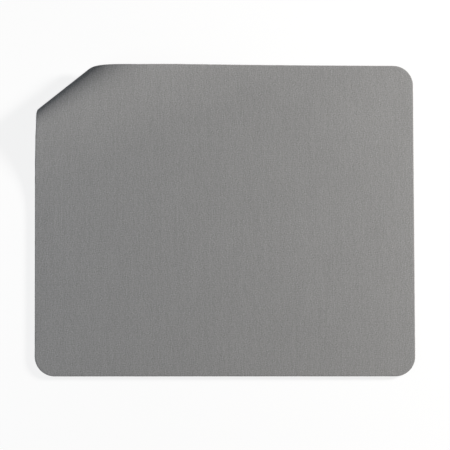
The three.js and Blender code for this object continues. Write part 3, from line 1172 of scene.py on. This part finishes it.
def along_outline(tree, given, shape, scale, axis, lean):
    """Copies of a shape along the outline in the tree's input geometry, made real, because the
    bend moves points."""
    curve = add_node(tree, "GeometryNodeMeshToCurve", {0: given["Geometry"]}).outputs[0]
    inputs = {"Curve": curve, "Length": given["Spacing"]}
    spread = add_node(tree, "GeometryNodeResampleCurve", inputs, mode="LENGTH").outputs[0]
    away = read_attribute(tree, "outward", "FLOAT_VECTOR")
    depth = random_between(tree, given["Least Depth"], given["Most Depth"], given["Seed"])
    sunk = vector_calc(tree, "SCALE", away, scale=calc(tree, "MULTIPLY", given["Rooted"], -1.0))
    down = combine(tree, 0.0, 0.0, calc(tree, "MULTIPLY", depth, -1.0))
    inputs = {"Geometry": spread, "Offset": vector_calc(tree, "ADD", sunk, down)}
    placed = add_node(tree, "GeometryNodeSetPosition", inputs).outputs[0]
    leaning = vector_calc(tree, "ADD", away, random_lean(tree, *lean, given["Seed"]))
    towards = {"Vector": leaning}
    turned = add_node(tree, "FunctionNodeAlignRotationToVector", towards, axis=axis).outputs[0]
    inputs = {"Points": placed, "Instance": shape, "Rotation": turned, "Scale": scale}
    copies = add_node(tree, "GeometryNodeInstanceOnPoints", inputs).outputs[0]
    return add_node(tree, "GeometryNodeRealizeInstances", {0: copies}).outputs[0]


def thread_sockets(spacing, rooted, least_depth, most_depth, seed):
    """The named inputs that both kinds of thread have. Rooted is how far inside the cut the roots
    lie, and the depths count down from the cloth's face."""
    return [
        ("Geometry", GEOMETRY, None),
        *GUIDE_SOCKETS,
        ("Spacing", FLOAT, spacing),
        ("Rooted", FLOAT, rooted),
        ("Least Depth", FLOAT, least_depth),
        ("Most Depth", FLOAT, most_depth),
        ("Seed", INTEGER, seed),
        ("Yarn", MATERIAL, None),
    ]


# %% Yarn stubs
STUB_LEAN = ((-0.5, -0.5, -0.5), (0.5, 0.5, 0.15))


def stub_group():
    """Short cones round the outline, each the end of one cut yarn."""
    sockets = thread_sockets(
        spacing=0.4 * MM,
        rooted=0.04 * MM,
        least_depth=0.16 * MM,
        most_depth=0.27 * MM,
        seed=11,
    )
    sockets += [
        ("Radius", FLOAT, 0.075 * MM),
        ("Least Length", FLOAT, 0.06 * MM),
        ("Most Length", FLOAT, 0.15 * MM),
    ]
    tree, given, result = new_geometry_group("Yarn stubs", sockets)
    inputs = {"Vertices": 5, "Radius Top": 0.65, "Radius Bottom": 1.0, "Depth": 1.0}
    stub = add_node(tree, "GeometryNodeMeshCone", inputs).outputs[0]
    length = random_between(tree, given["Least Length"], given["Most Length"], given["Seed"])
    scale = combine(tree, given["Radius"], given["Radius"], length)
    stubs = along_outline(tree, given, stub, scale, "Z", STUB_LEAN)
    finished = finish_in_tree(tree, given, stubs, given["Yarn"])
    tree.links.new(finished, result.inputs[0])
    return tree


def make_threads(name, tree):
    """Runs one of the thread trees on the outline, and keeps the result as a piece."""
    piece = outline_ring(name)
    run_tree(piece, tree, Yarn=cut_yarns, **guides)
    drop_empty_slots(piece.data)
    piece.data.shade_smooth()
    describe(piece)
    return piece


yarn_stubs = make_threads("yarn_stubs", stub_group())

# %% [markdown]
# A loose fibre is far thinner than a yarn and curls. Its shape is a short arc, which starts at its
# root and is swept with a three-sided section, because hundreds of them have to stay light.

# %% Loose fibres
FIBRE_LEAN = ((-0.8, -0.8, -0.9), (0.8, 0.8, 0.0))
FIBRE_SWEEP = math.radians(75)
SMALLEST_FIBRE = 0.35


def fibre_group():
    """Short curled hairs round the outline, of different sizes."""
    sockets = thread_sockets(
        spacing=2.6 * MM,
        rooted=0.03 * MM,
        least_depth=0.1 * MM,
        most_depth=0.3 * MM,
        seed=23,
    )
    sockets += [("Radius", FLOAT, 0.011 * MM), ("Curl Radius", FLOAT, 0.55 * MM)]
    tree, given, result = new_geometry_group("Loose fibres", sockets)
    inputs = {"Resolution": 6, "Radius": given["Curl Radius"], "Sweep Angle": FIBRE_SWEEP}
    arc = add_node(tree, "GeometryNodeCurveArc", inputs).outputs[0]
    to_root = combine(tree, calc(tree, "MULTIPLY", given["Curl Radius"], -1.0), 0.0, 0.0)
    arc = add_node(tree, "GeometryNodeTransform", {"Geometry": arc, "Translation": to_root}).outputs[0]
    inputs = {"Resolution": 3, "Radius": given["Radius"]}
    section = add_node(tree, "GeometryNodeCurvePrimitiveCircle", inputs).outputs[0]
    inputs = {"Curve": arc, "Profile Curve": section, "Fill Caps": True}
    fibre = add_node(tree, "GeometryNodeCurveToMesh", inputs).outputs[0]
    size = random_between(tree, SMALLEST_FIBRE, 1.0, given["Seed"])
    scale = combine(tree, size, size, size)
    fibres = along_outline(tree, given, fibre, scale, "Y", FIBRE_LEAN)
    finished = finish_in_tree(tree, given, fibres, given["Yarn"])
    tree.links.new(finished, result.inputs[0])
    return tree


loose_fibres = make_threads("loose_fibres", fibre_group())

# %% [markdown]
# Underneath, the foam is pressed against a patterned belt while it is hot, which leaves fine wavy
# ribs that grip the desk. A bump in the material would be quicker, but the ribs are what the pad
# stands on, so they are real shapes. The belt's pattern runs on and the blade cuts through it, so
# every rib goes on until just inside the cut edge. The tree lays one straight line for each rib,
# as long as the pad is wide there, bends the lines into waves, and sweeps a low rounded section
# along them.

# %% Lines for the ribs
RIB_OVERLAP = 0.05 * MM


def rib_rows(tree, given, reach):
    """One point for each rib, in a row over the depth of the pad."""
    side_room = calc(tree, "ADD", reach, given["Edge Inset"])
    room = calc(tree, "SUBTRACT", given["Pad Depth"], calc(tree, "MULTIPLY", side_room, 2.0))
    gaps = calc(tree, "FLOOR", calc(tree, "DIVIDE", room, given["Rib Spacing"]))
    first = calc(tree, "MULTIPLY", calc(tree, "MULTIPLY", gaps, given["Rib Spacing"]), -0.5)
    inputs = {
        "Count": calc(tree, "ADD", gaps, 1.0),
        "Start Location": combine(tree, 0.0, first, 0.0),
        "Offset": combine(tree, 0.0, given["Rib Spacing"], 0.0),
    }
    return add_node(tree, "GeometryNodeMeshLine", inputs, mode="OFFSET").outputs[0]


def half_length(tree, given, place, reach):
    """How far a rib at some place may run to each side, before it meets the rounded outline. Its
    reach, which is its waves and half its width, is kept inside too."""
    half_depth = calc(tree, "MULTIPLY", given["Pad Depth"], 0.5)
    straight = calc(tree, "SUBTRACT", half_depth, given["Corner Radius"])
    beyond = calc(tree, "ADD", calc(tree, "ABSOLUTE", split(tree, place)["Y"]), reach)
    beyond = calc(tree, "MAXIMUM", calc(tree, "SUBTRACT", beyond, straight), 0.0)
    squares = calc(tree, "MULTIPLY", given["Corner Radius"], given["Corner Radius"])
    squares = calc(tree, "SUBTRACT", squares, calc(tree, "MULTIPLY", beyond, beyond))
    round_part = calc(tree, "SQRT", calc(tree, "MAXIMUM", squares, 0.0))
    half = calc(tree, "MULTIPLY_ADD", given["Pad Width"], 0.5, round_part)
    return calc(tree, "SUBTRACT", half, calc(tree, "ADD", given["Corner Radius"], given["Edge Inset"]))


def wavy_lines(tree, given, rows, half, place):
    """One line for each point of the rows, bent into waves and sunk to the underside."""
    inputs = {"Start": (-1, 0, 0), "End": (1, 0, 0)}
    line = add_node(tree, "GeometryNodeCurvePrimitiveLine", inputs).outputs[0]
    inputs = {"Points": rows, "Instance": line, "Scale": combine(tree, half, 1.0, 1.0)}
    lines = add_node(tree, "GeometryNodeInstanceOnPoints", inputs).outputs[0]
    lines = add_node(tree, "GeometryNodeRealizeInstances", {0: lines}).outputs[0]
    inputs = {"Curve": lines, "Length": given["Step"]}
    lines = add_node(tree, "GeometryNodeResampleCurve", inputs, mode="LENGTH").outputs[0]
    phase = calc(tree, "DIVIDE", split(tree, place)["X"], given["Wave Length"])
    wave = calc(tree, "SINE", calc(tree, "MULTIPLY", phase, 2 * math.pi))
    wave = calc(tree, "MULTIPLY", wave, given["Wave Height"])
    base = calc(tree, "MULTIPLY_ADD", given["Skin Depth"], -1.0, RIB_OVERLAP)
    inputs = {"Geometry": lines, "Offset": combine(tree, 0.0, wave, base)}
    waves = add_node(tree, "GeometryNodeSetPosition", inputs).outputs[0]
    return add_node(tree, "GeometryNodeSetCurveNormal", {0: waves}, mode="Z_UP").outputs[0]


# %% [markdown]
# The section of a rib is half a circle, drawn with only four points because it is swept along some
# seventy lines. They stand at 0, 60, 120 and 180 degrees, so its flat top lies at the sine of 60
# degrees, and the height is divided by that. The base is sunk a little into the foam, so that no
# gap shows under the rib.

# %% The tree for the moulded ribs
WAVE_LENGTH = 9 * MM
STEPS_PER_WAVE = 8
SECTION_POINTS = 4


def rib_section(tree, given, half_rib):
    """The closed section of a rib, as high and as wide as its inputs say."""
    inputs = {"Resolution": SECTION_POINTS, "Radius": 1.0, "Sweep Angle": math.pi}
    arc = add_node(tree, "GeometryNodeCurveArc", inputs).outputs[0]
    inputs = {"Geometry": arc, "Cyclic": True}
    closed = add_node(tree, "GeometryNodeSetSplineCyclic", inputs).outputs[0]
    tall = calc(tree, "ADD", given["Rib Height"], RIB_OVERLAP)
    tall = calc(tree, "DIVIDE", tall, math.sin(math.pi / (SECTION_POINTS - 1)))
    inputs = {"Geometry": closed, "Scale": combine(tree, half_rib, tall, 1.0)}
    return add_node(tree, "GeometryNodeTransform", inputs).outputs[0]


def rib_group():
    """Wavy ribs all over the underside, from one side of the outline to the other."""
    sockets = [
        *GUIDE_SOCKETS,
        ("Pad Width", FLOAT, PAD_WIDTH),
        ("Pad Depth", FLOAT, PAD_DEPTH),
        ("Corner Radius", FLOAT, CORNER_RADIUS),
        ("Edge Inset", FLOAT, 0.35 * MM),
        ("Rib Spacing", FLOAT, 2.4 * MM),
        ("Rib Width", FLOAT, 1.0 * MM),
        ("Rib Height", FLOAT, RIB_HEIGHT),
        ("Wave Length", FLOAT, WAVE_LENGTH),
        ("Wave Height", FLOAT, 0.6 * MM),
        ("Step", FLOAT, WAVE_LENGTH / STEPS_PER_WAVE),
        ("Skin Depth", FLOAT, SKIN_DEPTH),
        ("Foam", MATERIAL, None),
    ]
    tree, given, result = new_geometry_group("Moulded ribs", sockets)
    half_rib = calc(tree, "MULTIPLY", given["Rib Width"], 0.5)
    reach = calc(tree, "ADD", given["Wave Height"], half_rib)
    place = tree.nodes.new("GeometryNodeInputPosition").outputs[0]
    rows = rib_rows(tree, given, reach)
    half = half_length(tree, given, place, reach)
    waves = wavy_lines(tree, given, rows, half, place)
    section = rib_section(tree, given, half_rib)
    inputs = {"Curve": waves, "Profile Curve": section, "Fill Caps": True}
    ribs = add_node(tree, "GeometryNodeCurveToMesh", inputs).outputs[0]
    tree.links.new(finish_in_tree(tree, given, ribs, given["Foam"]), result.inputs[0])
    return tree


# %% Moulded ribs
moulded_ribs = add_object("moulded_ribs", bpy.data.meshes.new("moulded_ribs"))
run_tree(moulded_ribs, rib_group(), Foam=foam_skin, **guides)
drop_empty_slots(moulded_ribs.data)
moulded_ribs.data.shade_smooth()
describe(moulded_ribs)

# %% [markdown]
# Every piece rides on the pad's one body. The three layers replace the solids of the imported model.
# The cloth and the film are sheets, each lying on what is under it, and the foam fills its outline
# everywhere.

# %% Ride and replace
pieces = (
    (cloth, "cloth_top", "cloth"),
    (yarn_stubs, None, "cloth"),
    (loose_fibres, None, "cloth"),
    (film, "adhesive_film", "film"),
    (foam, "foam_base", "foam"),
    (moulded_ribs, None, "foam"),
)
for piece, node, slot in pieces:
    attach(piece, "root")
    if node:
        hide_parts(node)
for guide in guides.values():
    bpy.data.objects.remove(guide)
print("pieces:", [piece.name for piece, _, _ in pieces])

# %% [markdown]
# The pad lies on a plain white table top. For the light that bounces off it on to the pad it is a
# middle grey, because a real table is small and the white one here has no end. What the camera sees
# is white and partly plain emission, which keeps the background white without a brighter lamp, and
# leaves the pad's shadow on it, only softer.

# %% Table top
TABLE_SIZE = 6.0
TABLE_DROP = 0.02 * MM
half_table = TABLE_SIZE / 2
table_mesh = bpy.data.meshes.new("table_top")
directions = [(-1, -1), (1, -1), (1, 1), (-1, 1)]
table_corners = [(x * half_table, y * half_table, -TABLE_DROP) for x, y in directions]
table_mesh.from_pydata(table_corners, [], [(0, 1, 2, 3)])
table_top = add_object("table_top", table_mesh)
print("table top", TABLE_SIZE, "m wide,", round(TABLE_DROP / MM, 3), "mm under the pad")

# %% Table material
TABLE_BOUNCE, TABLE_WHITE = 0.5, 0.97
TABLE_GLOW = 0.85

table_white = bpy.data.materials.new("table_white")
table_white.use_nodes = True
table_tree = table_white.node_tree
table_shader = table_tree.nodes["Principled BSDF"]
table_shader.inputs["Roughness"].default_value = 1.0
table_shader.inputs["Specular IOR Level"].default_value = 0.0
ray = table_tree.nodes.new("ShaderNodeLightPath").outputs
seen = calc(table_tree, "MAXIMUM", ray["Is Camera Ray"], ray["Is Glossy Ray"])
seen = calc(table_tree, "MAXIMUM", seen, ray["Is Transmission Ray"])
grey = calc(table_tree, "MULTIPLY_ADD", seen, TABLE_WHITE - TABLE_BOUNCE, TABLE_BOUNCE)
table_tree.links.new(grey, table_shader.inputs["Base Color"])
glow = add_node(table_tree, "ShaderNodeEmission", {"Color": (1, 1, 1, 1), "Strength": 1.0})
glow_share = calc(table_tree, "MULTIPLY", seen, TABLE_GLOW)
inputs = {0: glow_share, 1: table_shader.outputs[0], 2: glow.outputs[0]}
mixed = add_node(table_tree, "ShaderNodeMixShader", inputs)
table_tree.links.new(mixed.outputs[0], table_tree.nodes["Material Output"].inputs["Surface"])
table_mesh.materials.append(table_white)
count_nodes(table_white)

# %% [markdown]
# The key light stands low on the right, so it grazes the cloth and leaves the far side of the roll
# dark. A weak soft fill on the left and a little light from all round keep that shade from turning
# black. The key is a touch warm and the fill a touch cool, as lamp and skylight are, and together
# they light the flat cloth so that its grey renders about as it is written.

# %% Lights
WORLD_STRENGTH = 0.01


def area_light(name, azimuth, elevation, distance, size, power, colour):
    """A square lamp that looks at the middle of the pad, placed by its direction in degrees."""
    data = bpy.data.lights.new(name, "AREA")
    data.size, data.energy, data.color = size, power, colour
    turn, lift = math.radians(azimuth), math.radians(elevation)
    level = Vector((math.cos(turn), math.sin(turn), 0)) * math.cos(lift)
    lamp = add_object(name, data)
    lamp.location = (level + Vector((0, 0, math.sin(lift)))) * distance
    lamp.rotation_euler = (-lamp.location).to_track_quat("-Z", "Y").to_euler()
    print(name, "lamp at", [round(value, 2) for value in lamp.location], "m")


area_light("key", 18, 19.5, distance=1.1, size=0.2, power=29, colour=(1, 0.978, 0.948))
area_light("fill", 185, 36, distance=0.4, size=0.3, power=0.48, colour=(0.84, 0.91, 1))
world = bpy.data.worlds.new("studio")
world.use_nodes = True
background = world.node_tree.nodes["Background"].inputs
background["Color"].default_value = (1, 1, 1, 1)
background["Strength"].default_value = WORLD_STRENGTH
bpy.context.scene.world = world
bpy.context.scene.view_settings.view_transform = "Standard"
